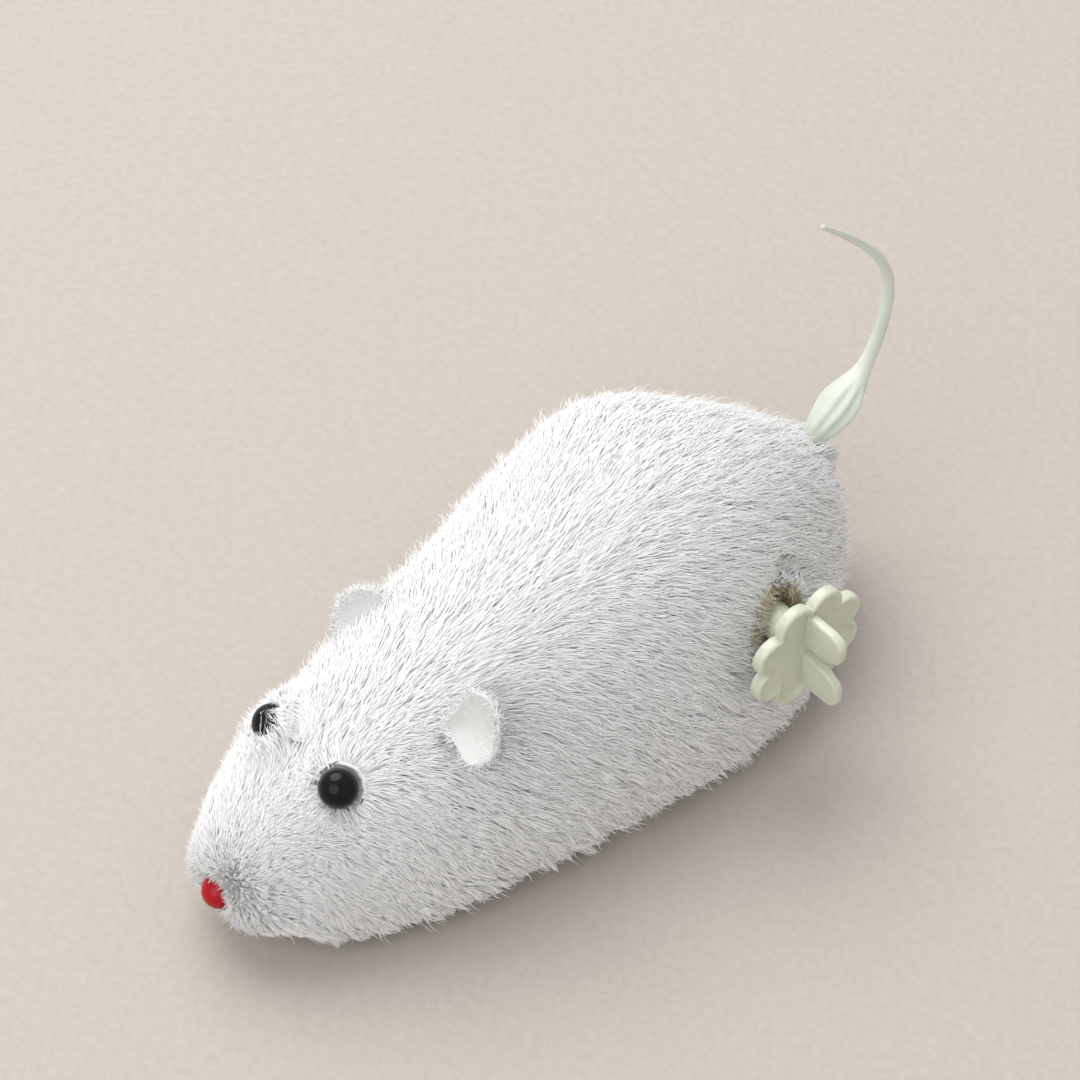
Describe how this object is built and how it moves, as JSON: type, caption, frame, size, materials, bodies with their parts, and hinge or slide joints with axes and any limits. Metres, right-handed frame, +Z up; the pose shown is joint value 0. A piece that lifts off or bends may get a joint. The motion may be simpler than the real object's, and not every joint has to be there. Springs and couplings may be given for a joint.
{
  "type": "clockwork mouse",
  "caption": "Plush wind-up toy mouse on a hidden geared spring motor, with a flower-shaped side key, drive wheels, a front caster and a curled vinyl tail.",
  "frame": {"origin": "on the ground under the middle of the body, in the body's mid-plane, level with the wheels' lowest points", "axes": "+Z up, +Y from the nose to the tail, +X to the mouse's left, the side with the winding key"},
  "size_m": [0.066, 0.1338, 0.0747],
  "materials": {
    "white_plush": "soft cut-pile plush",
    "ear_felt": "smooth felt",
    "shell_plastic": "moulded, satin",
    "chassis_plastic": "moulded, satin",
    "motor_plastic": "natural moulded",
    "key_plastic": "moulded, semi-gloss cream",
    "tail_vinyl": "soft translucent vinyl",
    "eye_black": "polished",
    "nose_red": "polished",
    "gear_nylon": "natural nylon",
    "wheel_plastic": "moulded",
    "tyre_rubber": "matt rubber",
    "zinc_screw": "zinc plated",
    "pillar_steel": "turned",
    "arbor_steel": "ground",
    "gear_steel": "stamped",
    "spring_steel": "tempered strip"
  },
  "bodies": {
    "housing": {"plush_cover": "white_plush", "body_shell": "shell_plastic", "chassis": "chassis_plastic", "chassis_screws": "zinc_screw", "motor_case_left": "motor_plastic", "motor_case_right": "motor_plastic", "case_pillars": "pillar_steel", "motor_screws": "zinc_screw", "mainspring": "spring_steel", "tail": "tail_vinyl", "eye_left": "eye_black", "eye_right": "eye_black", "nose": "nose_red", "ear_left": "ear_felt", "ear_right": "ear_felt"},
    "winder": {"winding_key": "key_plastic", "winding_arbor": "arbor_steel", "ratchet_wheel": "gear_steel"},
    "great_wheel": {"great_gear": "gear_nylon", "click_pawl": "gear_steel", "click_rivet": "pillar_steel"},
    "middle_wheel": {"middle_gear": "gear_nylon", "middle_shaft": "arbor_steel"},
    "drive_wheels": {"drive_axle": "arbor_steel", "drive_pinion": "gear_nylon", "drive_wheel_left": "wheel_plastic", "drive_wheel_right": "wheel_plastic", "tyre_left": "tyre_rubber", "tyre_right": "tyre_rubber"},
    "caster": {"front_fork": "wheel_plastic", "fork_clip": "zinc_screw", "front_axle": "arbor_steel"},
    "caster_wheel": {"front_wheel": "wheel_plastic"}
  },
  "joints": [
    {"name": "drive_spin", "type": "hinge", "parent": "housing", "child": "drive_wheels", "pos_m": [0, 0.018, 0.009], "axis": [1, 0, 0], "continuous": true},
    {"name": "middle_spin", "type": "hinge", "parent": "housing", "child": "middle_wheel", "pos_m": [0, 0.01722, 0.02047], "axis": [1, 0, 0], "continuous": true},
    {"name": "great_spin", "type": "hinge", "parent": "housing", "child": "great_wheel", "pos_m": [0, 0.028, 0.0268], "axis": [1, 0, 0], "continuous": true},
    {"name": "key_wind", "type": "hinge", "parent": "housing", "child": "winder", "pos_m": [0, 0.028, 0.0268], "axis": [1, 0, 0], "range_deg": [-1890, 0], "stiffness_Nm_per_rad": 0.0006, "deforming": ["mainspring"]},
    {"name": "caster_swivel", "type": "hinge", "parent": "housing", "child": "caster", "pos_m": [0, -0.034, 0.0142], "axis": [0, 0, 1], "range_deg": [-30, 30]},
    {"name": "caster_roll", "type": "hinge", "parent": "caster", "child": "caster_wheel", "pos_m": [0, -0.031, 0.0042], "axis": [1, 0, 0], "continuous": true}
  ],
  "couplings": [
    {"joint": "middle_spin", "follows": "drive_spin", "ratio": -0.27778},
    {"joint": "great_spin", "follows": "drive_spin", "ratio": 0.069444}
  ]
}
